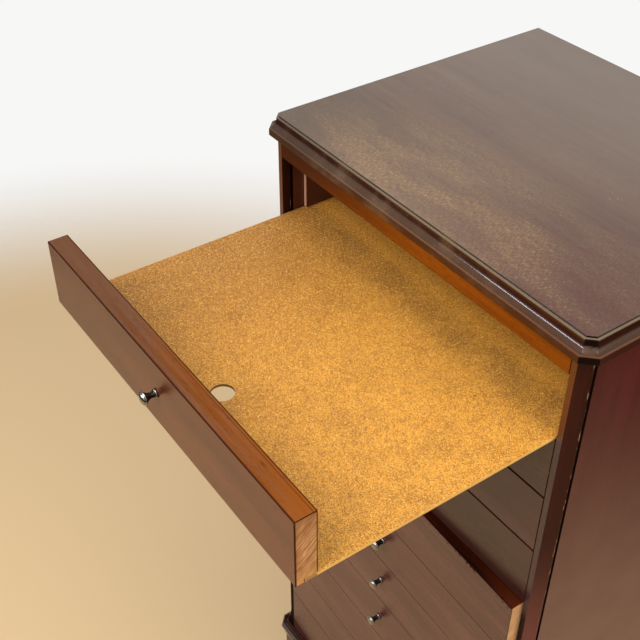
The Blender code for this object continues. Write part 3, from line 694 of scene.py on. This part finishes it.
def pressed_fibre(name, dark, middle, pale, smear_shade_and_glow, edge_cover, hole_shade_cover):
    """Smooth pressed hardboard with a browned band, in part painted shadow, and painted light and shade."""
    material, tree = blank_material(name)
    where = add(tree, "ShaderNodeTexCoord").outputs
    place = where["Object"]
    share = add(tree, "ShaderNodeSeparateXYZ", {0: where["Generated"]}).outputs
    pale_felt, dark_felt = (fibre_felt(tree, place, *kind) for kind in FIBRES)
    cloud = add(tree, "ShaderNodeTexNoise", {"Vector": place, "Scale": 1000.0 / CLOUD_MM, "Detail": 5.0})
    cloud = cloud.outputs["Fac"]
    mottle = add(tree, "ShaderNodeTexNoise", {"Vector": place, "Scale": 1000.0 / MOTTLE_MM, "Detail": 4.0})
    sheet = toned(tree, middle, dark, (cloud, 0.45, 0.75, 0.0, 0.35))
    sheet = toned(tree, sheet, dark, (mottle.outputs["Fac"], 0.40, 0.70, 0.0, 0.40))
    # Painted falloff of the light: darker towards the left.
    sheet = toned(tree, sheet, dark, (share["X"], 0.0, 0.65, 0.75, 0.0))
    start, full, fade, end = SMEAR_AND_SHADOW_SHARE
    # A browned band before the mouth: in part stain, in part painted shadow of the overhanging top.
    band = ((share["Y"], start, full), (share["Y"], fade, end, 1.0, 0.0), (cloud, 0.32, 0.62, 0.1, smear_shade_and_glow))
    sheet = toned(tree, sheet, "#58300f", *band)
    # Painted light: a brighter gold strip at the mouth, under the overhang.
    sheet = toned(tree, sheet, "#f0a238", (share["Y"], fade, end, 0.0, smear_shade_and_glow))
    sheet = toned(tree, sheet, pale, (pale_felt, 0.0, 1.0, 0.0, 0.95))
    sheet = toned(tree, sheet, dark, (dark_felt, 0.0, 1.0, 0.0, 0.95))
    upright = add(tree, "ShaderNodeSeparateXYZ", {0: where["Normal"]}).outputs["Z"]
    upright = add(tree, "ShaderNodeMath", {0: upright}, operation="ABSOLUTE").outputs[0]
    # Painted highlight: the sawn edges paler.
    sheet = toned(tree, sheet, pale, (upright, 0.3, 0.6, edge_cover, 0.0))
    sheet = toned(tree, sheet, "#7a4c26", (share["Y"], *GROOVE_SHARE, edge_cover, 0.0))
    # Painted shade: darker walls in the finger hole.
    by_hole = add(tree, "ShaderNodeMath", {0: share["X"], 1: 0.5, 2: HOLE_HALF}, operation="COMPARE")
    sheet = toned(tree, sheet, "#3a2008", by_hole.outputs[0], (upright, 0.3, 0.6, hole_shade_cover, 0.0))
    dents = {"Height": dark_felt, "Strength": FELT_STRENGTH, "Distance": FELT_DEPTH}
    dented = add(tree, "ShaderNodeBump", dents).outputs[0]
    smooth = {"Base Color": sheet, "Roughness": 0.62, "IOR": HARDBOARD_IOR, "Normal": dented}
    board = add(tree, "ShaderNodeBsdfPrincipled", smooth)
    add(tree, "ShaderNodeOutputMaterial", {"Surface": board.outputs[0]})
    print("finish", name)
    return material


hardboard = pressed_fibre("pressed hardboard", "#744410", "#d19130", "#f0bd62", 0.40, 0.7, 0.85)
back_board = pressed_fibre("pressed hardboard, back", "#5c3a1e", "#80552f", "#97693d", 0.0, 0.0, 0.0)

# %% [markdown]
# ## Plain wood inside
# Shelves, cleats and boards inside were never meant to be seen: plain pale wood, lightly oiled. The runner
# strips are stained, and only their sawn front ends show pinkish raw wood.

# %% Finish the inside
PALE_WOOD = ("#7d5637", "#96704a", "#a98258")

plain_across = mahogany("plain wood, grain across", "X", *PALE_WOOD, 0.55)
plain_deep = mahogany("plain wood, grain front to back", "Y", *PALE_WOOD, 0.55)

runner_wood, tree = blank_material("stained runner, raw end")
where = add(tree, "ShaderNodeTexCoord").outputs
stain, pores = grain_colours(tree, where["Object"], "Y", "#3a170c", "#532414", "#6a3520")
forward = add(tree, "ShaderNodeSeparateXYZ", {0: where["Normal"]}).outputs["Y"]
stain = toned(tree, stain, "#b98a72", (forward, -0.92, -0.80, 1.0, 0.0))
add(tree, "ShaderNodeOutputMaterial", {"Surface": varnish(tree, stain, pores, 0.42)})
print("finish", runner_wood.name)

# %% [markdown]
# ## Soft edges
# No real edge is knife sharp, and an eased edge catches a thin line of light that tells the eye the size of a
# thing. The solids are kept as they are: a stack of modifiers joins their facets, rounds the corners by about
# half a millimetre and shades the curves smoothly. The Bevel modifier can give the rounded strip a finish of
# its own, so most arrises get the dark line of old varnish, with pale chips where they have been knocked.

# %% Make the finishes of an arris
NICK_MM = 9.0
RUBBED_IOR = 1.08  # an arris rubbed dull hardly mirrors the lamps


def arris(name, film, chip, chip_share):
    """Finish of a knocked edge: dark film with pale chips."""
    material, tree = blank_material(name)
    place = add(tree, "ShaderNodeTexCoord").outputs["Object"]
    knocks = add(tree, "ShaderNodeTexNoise", {"Vector": place, "Scale": 1000.0 / NICK_MM, "Detail": 5.0})
    chips = graded(tree, (knocks.outputs["Fac"], 0.74 - chip_share, 0.80 - chip_share))
    tone = toned(tree, film, chip, chips)
    rough = graded(tree, (chips, 0.0, 1.0, 0.45, 0.70))
    edge = add(tree, "ShaderNodeBsdfPrincipled", {"Base Color": tone, "Roughness": rough, "IOR": RUBBED_IOR})
    add(tree, "ShaderNodeOutputMaterial", {"Surface": edge.outputs[0]})
    print("finish", name)
    return material


arris_dark = arris("varnished arris, chipped", "#35170d", "#a87c52", 0.08)
arris_scribed = arris("old wax in scribed lines", "#20100b", "#2c1710", 0.0)
arris_board = arris("hardboard arris", "#c79250", "#e8bd7c", 0.20)
arris_plain = arris("plain wood arris", "#8a6440", "#b08a60", 0.15)

# %% Ease the edges
EASE_WIDTH = 0.00055
EASE_ANGLE = math.radians(50)
SMOOTH_ANGLE = math.radians(40)
FLAT_ANGLE = math.radians(0.2)
JOIN_GAP, DOUBLED_GAP = 1e-5, 1e-6


def smooth_group():
    """Node group that shades smoothly except across sharp corners."""
    tree = bpy.data.node_groups.new("smooth but for corners", "GeometryNodeTree")
    for way in ("INPUT", "OUTPUT"):
        tree.interface.new_socket("Geometry", in_out=way, socket_type="NodeSocketGeometry")
    start = add(tree, "NodeGroupInput")
    bare = add(tree, "GeometryNodeRemoveAttribute", {"Geometry": start.outputs[0], "Name": "custom_normal"})
    smooth = add(tree, "GeometryNodeSetShadeSmooth", {"Geometry": bare.outputs[0]})
    angle = add(tree, "GeometryNodeInputMeshEdgeAngle").outputs["Unsigned Angle"]
    sharp = add(tree, "FunctionNodeCompare", {0: angle, 1: SMOOTH_ANGLE}, operation="GREATER_THAN")
    corners = add(
        tree,
        "GeometryNodeSetShadeSmooth",
        {"Geometry": smooth.outputs[0], "Selection": sharp.outputs[0], "Shade Smooth": False},
        domain="EDGE",
    )
    add(tree, "NodeGroupOutput", {0: corners.outputs[0]})
    return tree


SMOOTHING = smooth_group()


def dress(names, finish, edge=None, width=EASE_WIDTH):
    """Gives nodes a finish and eased edges, which have a finish of their own if one is given."""
    for name in names:
        node = nodes[name]
        node.data.materials.clear()
        node.data.materials.append(finish)
        join = node.modifiers.new("join facets", "WELD")
        join.merge_threshold = JOIN_GAP
        flat = node.modifiers.new("flat faces", "DECIMATE")
        flat.decimate_type = "DISSOLVE"
        flat.angle_limit = FLAT_ANGLE
        ease = node.modifiers.new("eased edges", "BEVEL")
        ease.width = width
        ease.segments = 2
        ease.limit_method = "ANGLE"
        ease.angle_limit = EASE_ANGLE
        if edge:
            node.data.materials.append(edge)
            ease.material = 1
        tidy = node.modifiers.new("no doubled points", "WELD")
        tidy.merge_threshold = DOUBLED_GAP
        shade = node.modifiers.new("smooth shading", "NODES")
        shade.node_group = SMOOTHING
        level = node.modifiers.new("level faces", "WEIGHTED_NORMAL")
        level.keep_sharp = True
    print(finish.name, "on", len(names), "nodes")


print("edges eased by", EASE_WIDTH * 1000, "mm")

# %% [markdown]
# ## Which piece gets which finish
# A joiner runs the grain along the length of each piece: upright in sides and stiles, across in rails and
# fronts, front to back in the side mouldings and runners.

# %% Dress the case
SIDES = ("left", "right")
TRAYS = (1, 2, 3)
SHELVES = (1, 2)

dress(["top_board"], mahogany_top, width=0.0003)
dress([f"side_panel_{s}" for s in SIDES], mahogany_side, width=0.0005)
dress([f"front_stile_{s}" for s in SIDES], mahogany_stile, width=0.0004)
dress(["top_rail"], mahogany_rail, arris_dark)
dress(["middle_rail", "bottom_board", "plinth_front", "plinth_back"], mahogany_across, arris_dark)
dress(["base_moulding_front"], mahogany_base, arris_dark, 0.0004)
dress([f"{kind}_{s}" for kind in ("base_moulding", "plinth") for s in SIDES], mahogany_deep, arris_dark)
dress([f"runner_{s}_{n}" for s in SIDES for n in TRAYS], runner_wood, arris_dark, 0.0003)
dress(["divider_board"] + [f"shelf_{n}" for n in SHELVES], plain_across, arris_plain)
dress([f"shelf_cleat_{s}_{n}" for s in SIDES for n in SHELVES], plain_deep, arris_plain)
dress(["back_panel"], back_board, arris_plain, 0.0003)

# %% Dress the trays and the door
dress(["tray_front_1"], mahogany_tray_front, arris_dark, 0.0006)
dress(["tray_front_2", "tray_front_3"], mahogany_closed_front, arris_dark, 0.0006)
dress([f"tray_board_{n}" for n in TRAYS], hardboard, arris_board, 0.0003)
dress(["door_panel"], mahogany_door, arris_scribed, 0.0003)

# %% [markdown]
# ## Metal and plastic fittings
# The hinges are brass, gone a little brown, the strike plate is zinc plated steel and the catch is moulded
# plastic. Metals keep the default IOR and take their look from colour and roughness.

# %% Finish the fittings
MOULD_MM = 1.5
MOULD_STRENGTH, MOULD_DEPTH = 0.2, 0.00005


def metal(name, bright, tarnish, roughness, grit_mm):
    """Worn metal: bright where rubbed, tarnished in patches."""
    material, tree = blank_material(name)
    place = add(tree, "ShaderNodeTexCoord").outputs["Object"]
    spots = add(tree, "ShaderNodeTexNoise", {"Vector": place, "Scale": 1000.0 / grit_mm, "Detail": 4.0})
    spots = spots.outputs["Fac"]
    tone = toned(tree, bright, tarnish, (spots, 0.45, 0.70))
    rough = graded(tree, (spots, 0.35, 0.70, roughness, roughness + 0.15))
    shell = add(tree, "ShaderNodeBsdfPrincipled", {"Base Color": tone, "Roughness": rough, "Metallic": 1.0})
    add(tree, "ShaderNodeOutputMaterial", {"Surface": shell.outputs[0]})
    print("finish", name)
    return material


hinge_brass = metal("aged brass", "#c9a45a", "#7c5c2c", 0.30, 4.0)
strike_steel = metal("zinc plated steel", "#b9babc", "#8d8f93", 0.28, 3.0)

catch_plastic, tree = blank_material("moulded brown plastic")
place = add(tree, "ShaderNodeTexCoord").outputs["Object"]
mould = add(tree, "ShaderNodeTexNoise", {"Vector": place, "Scale": 1000.0 / MOULD_MM, "Detail": 3.0})
mould = mould.outputs["Fac"]
tone = toned(tree, "#4a2f20", "#573a28", mould)
skin = add(tree, "ShaderNodeBump", {"Height": mould, "Strength": MOULD_STRENGTH, "Distance": MOULD_DEPTH})
moulded = {"Base Color": tone, "Roughness": 0.45, "Normal": skin.outputs[0]}
body = add(tree, "ShaderNodeBsdfPrincipled", moulded)
add(tree, "ShaderNodeOutputMaterial", {"Surface": body.outputs[0]})
print("finish", catch_plastic.name)

HINGES = ("lower", "upper")
HINGE_PARTS = ("leaf_case", "leaf_door", "pin")
dress([f"hinge_{part}_{h}" for part in HINGE_PARTS for h in HINGES], hinge_brass, width=0.0002)
dress(["strike_plate"], strike_steel, width=0.0002)
dress(["catch_block"], catch_plastic, width=0.0008)

# %% [markdown]
# ## Turned knobs
# The knobs are cast pewter, turned and rubbed bright on the head, with dark tarnish left in the neck. A knob
# is a profile spun round an axis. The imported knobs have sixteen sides, which is right for touching but not
# for looking, so each gets a finely turned one in its place. A number stored on every point (how deep it lies
# in the neck) tells the finish where tarnish stays.

# %% Draw the knob's profile
FLANGE_R, NECK_R, HEAD_R = 0.0044, 0.0026, 0.0068
FLANGE_OUT, HEAD_OUT, RIM_OUT, KNOB_OUT = 0.0015, 0.0105, 0.0117, 0.0147
ROUNDING = 0.0003
WAIST = 0.28  # share of the neck before it flares
NECK_STEPS, DOME_STEPS = 13, 8


def knob_profile():
    """Radius, height and tarnish of the knob from its flange to the top of its dome."""
    points = [(0.0, 0.0002, 1.0), (FLANGE_R - ROUNDING, 0.0002, 0.7)]
    points += [(FLANGE_R, 0.0006, 0.2), (FLANGE_R, 0.0011, 0.1), (FLANGE_R - 0.0004, FLANGE_OUT, 0.3)]
    neck_out, rim_out = FLANGE_OUT + ROUNDING, RIM_OUT + ROUNDING
    points.append((NECK_R + 0.0008, neck_out, 1.0))
    for i in range(1, NECK_STEPS):
        t = i / NECK_STEPS
        flare = NECK_R + (HEAD_R - 0.0006 - NECK_R) * max(0.0, (t - WAIST) / (1 - WAIST)) ** 2.2
        waist = 0.0006 * max(0.0, 1 - t / WAIST)
        points.append((flare + waist, neck_out + t * (HEAD_OUT - FLANGE_OUT), 1.0 - 0.6 * t * t))
    points += [(HEAD_R - ROUNDING, HEAD_OUT + 0.0002, 0.5), (HEAD_R, HEAD_OUT + 0.0006, 0.1)]
    points += [(HEAD_R, RIM_OUT, 0.05), (HEAD_R - 0.0004, rim_out, 0.1), (HEAD_R - 0.0008, rim_out, 0.6)]
    dome = HEAD_R - 0.0010
    for i in range(DOME_STEPS):
        a = math.radians(8 + i * 82 / DOME_STEPS)
        rise = rim_out + (KNOB_OUT - rim_out) * math.sin(a)
        points.append((dome * math.cos(a), rise, max(0.0, 0.35 - 0.12 * i)))
    return points + [(0.0, KNOB_OUT, 0.0)]


print("profile points", len(knob_profile()))

# %% Turn the knob and finish it
KNOB_SIDES = 48
SPECK_MM = 1.2


def turned_mesh(name, points, sides):
    """Spins a profile round +Z and keeps its third number as the point attribute tarnish."""
    shape = bmesh.new()
    layer = shape.verts.layers.float.new("tarnish")
    rings = []
    for radius, out, tarnish in points:
        count = 1 if radius == 0.0 else sides
        ring = []
        for i in range(count):
            a = 2 * math.pi * i / sides
            vert = shape.verts.new((radius * math.cos(a), radius * math.sin(a), out))
            vert[layer] = tarnish
            ring.append(vert)
        rings.append(ring)
    for low, high in zip(rings, rings[1:]):
        for i in range(sides):
            j = (i + 1) % sides
            corners = [low[i % len(low)], low[j % len(low)], high[j % len(high)], high[i % len(high)]]
            shape.faces.new(list(dict.fromkeys(corners)))
    for face in shape.faces:
        face.smooth = True
    mesh = bpy.data.meshes.new(name)
    shape.to_mesh(mesh)
    shape.free()
    return mesh


pewter, tree = blank_material("turned pewter, tarnished neck")
place = add(tree, "ShaderNodeTexCoord").outputs["Object"]
depth = add(tree, "ShaderNodeAttribute", attribute_name="tarnish").outputs["Fac"]
specks = add(tree, "ShaderNodeTexNoise", {"Vector": place, "Scale": 1000.0 / SPECK_MM, "Detail": 3.0})
mottle = graded(tree, (specks.outputs["Fac"], 0.40, 0.75, -0.10, 0.25))
deep = add(tree, "ShaderNodeMath", {0: depth, 1: mottle}, operation="ADD", use_clamp=True).outputs[0]
tone = toned(tree, "#94918b", "#1b1a18", deep)
rough = graded(tree, (deep, 0.0, 1.0, 0.16, 0.40))
shell = add(tree, "ShaderNodeBsdfPrincipled", {"Base Color": tone, "Roughness": rough, "Metallic": 1.0})
add(tree, "ShaderNodeOutputMaterial", {"Surface": shell.outputs[0]})

knob_mesh = turned_mesh("turned_knob", knob_profile(), KNOB_SIDES)
knob_mesh.materials.append(pewter)
print("knob faces", len(knob_mesh.polygons))

# %% Set each knob on its front
FALSE_DRAWERS = 7
STRAIGHT_OUT = Vector((0.0, -1.0, 0.0))
DOOR_OUT = Vector((-math.sin(DOOR_AJAR), -math.cos(DOOR_AJAR), 0.0))


def crown(node, out):
    """The middle of a knob's outermost points."""
    points = np.array([v.co for v in node.data.vertices])
    reach = points @ np.array(out)
    return Vector(points[reach > reach.max() - 1e-5].mean(axis=0))


def set_knob(name, body, out):
    """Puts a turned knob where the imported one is."""
    knob = bpy.data.objects.new(name + "_turned", knob_mesh)
    bpy.context.scene.collection.objects.link(knob)
    turn = out.to_track_quat("Z", "Y").to_matrix().to_4x4()
    knob.matrix_world = Matrix.Translation(crown(nodes[name], out) - out * KNOB_OUT) @ turn
    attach(knob, body)
    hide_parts(name)


for n in TRAYS:
    set_knob(f"tray_knob_{n}", f"tray_{n}", STRAIGHT_OUT)
for n in range(1, FALSE_DRAWERS + 1):
    set_knob(f"door_knob_{n}", "door", DOOR_OUT)
print("knobs set", len(TRAYS) + FALSE_DRAWERS)

# %% [markdown]
# ## Screws and pins
# Small fasteners make the hidden sides believable: three slotted brass screws in each hinge leaf, and round
# steel pins that hold the back panel. Each head is a small closed form, drawn as one outline at several radii
# and heights. A slotted head is two half discs with the slot between them. The screws stand only a tenth of a
# millimetre proud, because the two leaves of a closed hinge almost touch.

# %% Shape the small heads
HEAD_SIDES = 14


def small_head(shape, centre, across, out, outline, steps):
    """Adds a closed little form to a mesh: an outline drawn at several radii and heights."""
    along = out.cross(across)
    rings = []
    for radius, height in steps:
        middle = centre + out * height
        rings.append([shape.verts.new(middle + radius * (across * x + along * y)) for x, y in outline])
    shape.faces.new(rings[0])
    shape.faces.new(rings[-1])
    count = len(outline)
    for low, high in zip(rings, rings[1:]):
        for i in range(count):
            j = (i + 1) % count
            shape.faces.new((low[i], low[j], high[j], high[i]))


def fasten(name, shape, finish, body):
    """Turns a mesh of small heads into a piece that rides on a body."""
    bmesh.ops.recalc_face_normals(shape, faces=shape.faces)
    mesh = bpy.data.meshes.new(name)
    shape.to_mesh(mesh)
    shape.free()
    mesh.materials.append(finish)
    piece = bpy.data.objects.new(name, mesh)
    bpy.context.scene.collection.objects.link(piece)
    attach(piece, body)
    print(name, len(mesh.polygons), "faces")


print("small heads with", HEAD_SIDES, "sides")

# %% Screw the hinges
SCREW_R, SLOT_HALF = 0.0023, 0.00035
SCREW_STEPS = ((SCREW_R, -0.0003), (SCREW_R, 0.00006), (SCREW_R * 0.94, 0.00012))
SCREW_PLACES = ((0.010, 0.0060, 20), (0.030, 0.0105, 95), (0.050, 0.0060, 150))  # up, forward, slot's turn
KNUCKLE_CLEAR = -0.046  # the flat plate lies behind this y

start = math.asin(SLOT_HALF / SCREW_R)
angles = np.linspace(start, math.pi - start, HEAD_SIDES)
half_discs = [[(math.cos(a), side * math.sin(a)) for a in angles] for side in (1, -1)]


def screw_leaf(name, body, out):
    """Three slotted screws in the open face of a hinge leaf."""
    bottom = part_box(name)[0].z
    points = np.array([v.co for v in nodes[name].data.vertices])
    plate = points[points[:, 1] > KNUCKLE_CLEAR]
    anchor = Vector(plate[(plate @ np.array(out)).argmax()])
    forward = Vector((0.0, 0.0, 1.0)).cross(out)
    forward = forward if forward.y < 0 else -forward
    shape = bmesh.new()
    for rise, reach, turn in SCREW_PLACES:
        centre = anchor + forward * reach
        centre.z = bottom + rise
        across = Matrix.Rotation(math.radians(turn), 3, out) @ forward
        for outline in half_discs:
            small_head(shape, centre, across, out, outline, SCREW_STEPS)
    fasten(name + "_screws", shape, hinge_brass, body)


TO_THE_RIGHT = Vector((1.0, 0.0, 0.0))
DOOR_LEFT = Vector((-math.cos(DOOR_AJAR), math.sin(DOOR_AJAR), 0.0))
for h in HINGES:
    screw_leaf(f"hinge_leaf_case_{h}", "case", TO_THE_RIGHT)
    screw_leaf(f"hinge_leaf_door_{h}", "door", DOOR_LEFT)

# %% Pin the back panel
PIN_R, PIN_INSET = 0.0017, 0.0060
PIN_STEPS = ((PIN_R, -0.0002), (PIN_R, 0.0001), (PIN_R * 0.75, 0.0004), (PIN_R * 0.35, 0.0005))
PINS_UP, PINS_ACROSS = 9, 5
BACKWARDS = Vector((0.0, 1.0, 0.0))

low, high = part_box("back_panel")
round_head = [(math.cos(a), math.sin(a)) for a in np.linspace(0, 2 * math.pi, HEAD_SIDES, endpoint=False)]
left, right = low.x + PIN_INSET, high.x - PIN_INSET
bottom, top = low.z + PIN_INSET, high.z - PIN_INSET
spots = [(x, z) for x in (left, right) for z in np.linspace(bottom, top, PINS_UP)]
spots += [(x, z) for z in (bottom, top) for x in np.linspace(left, right, PINS_ACROSS)[1:-1]]
shape = bmesh.new()
for x, z in spots:
    small_head(shape, Vector((x, high.y, z)), TO_THE_RIGHT, BACKWARDS, round_head, PIN_STEPS)
fasten("back_pins", shape, strike_steel, "case")
